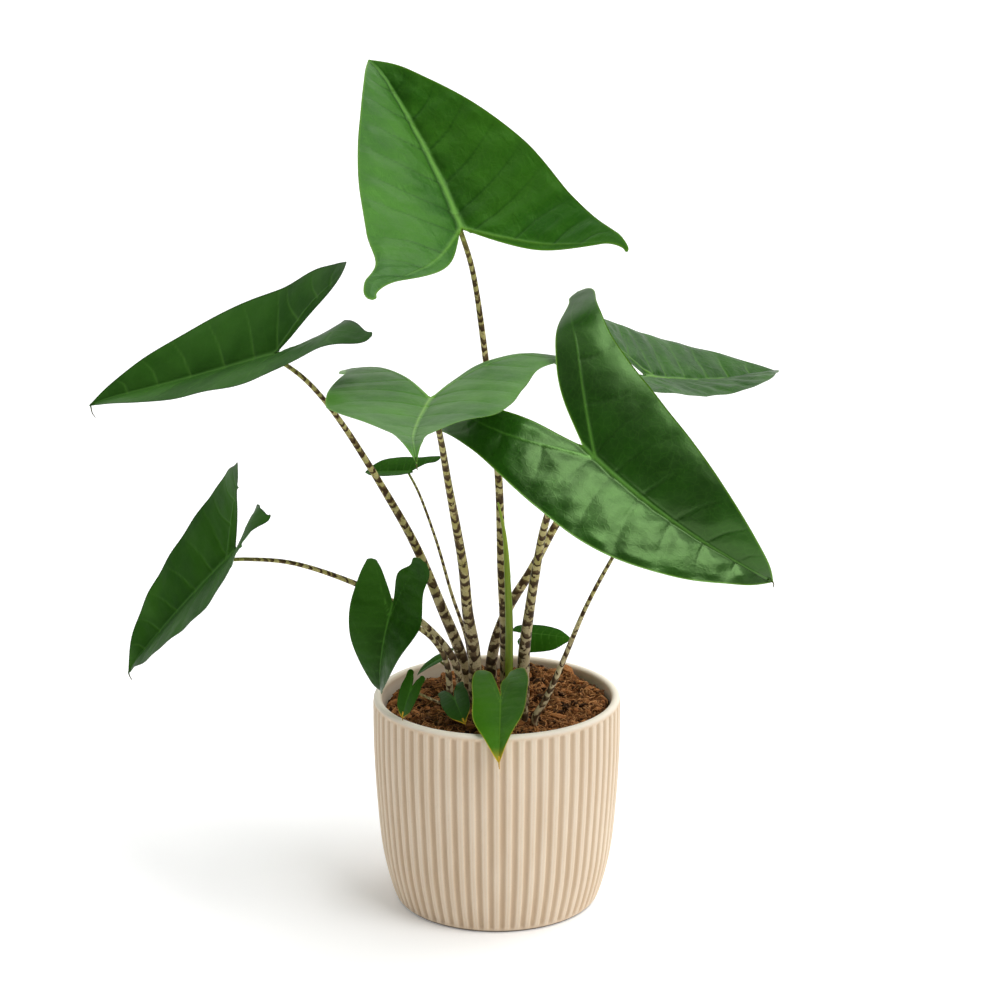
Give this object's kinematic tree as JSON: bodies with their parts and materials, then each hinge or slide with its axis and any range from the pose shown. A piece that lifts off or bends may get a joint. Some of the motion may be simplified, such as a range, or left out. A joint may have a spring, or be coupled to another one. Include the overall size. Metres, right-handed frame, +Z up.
{
  "type": "potted alocasia",
  "caption": "live alocasia with arrow-shaped leaf blades on banded stems, growing from soil in a round fluted ceramic pot",
  "frame": {"origin": "centre of the pot's flat base", "axes": "+Z up, the plant's front faces -Y, +X to the plant's right as seen from the front"},
  "size_m": [0.5746, 0.4847, 0.6677],
  "materials": {
    "pot": "matte, unglazed",
    "soil": "rough coir and bark mix",
    "blade_light": "satin leaf surface",
    "blade_satin": "satin leaf surface",
    "blade_dark": "glossy leaf surface",
    "blade_small": "glossy leaf surface",
    "blade_fresh": "glossy leaf surface",
    "stem": "satin, banded plant stem"
  },
  "bodies": {
    "root": {"pot": "pot", "soil": "soil", "leaf_top_blade": "blade_light", "leaf_top_stem": "stem", "leaf_left_high_blade": "blade_dark", "leaf_left_high_stem": "stem", "leaf_middle_blade": "blade_satin", "leaf_middle_stem": "stem", "leaf_right_big_blade": "blade_dark", "leaf_right_big_stem": "stem", "leaf_right_rear_blade": "blade_dark", "leaf_right_rear_stem": "stem", "leaf_left_low_blade": "blade_dark", "leaf_left_low_stem": "stem", "leaf_front_dark_blade": "blade_small", "leaf_front_dark_stem": "stem", "leaf_front_bright_blade": "blade_fresh", "leaf_front_bright_stem": "stem", "leaf_front_yellow_blade": "blade_small", "leaf_front_yellow_stem": "stem", "leaf_front_narrow_blade": "blade_small", "leaf_front_narrow_stem": "stem", "leaf_back_right_blade": "blade_dark", "leaf_back_right_stem": "stem", "leaf_back_left_blade": "blade_dark", "leaf_back_left_stem": "stem", "leaf_back_high_blade": "blade_dark", "leaf_back_high_stem": "stem", "leaf_right_hidden_blade": "blade_dark", "leaf_right_hidden_stem": "stem", "rolled_leaf": "blade_fresh"}
  },
  "joints": []
}
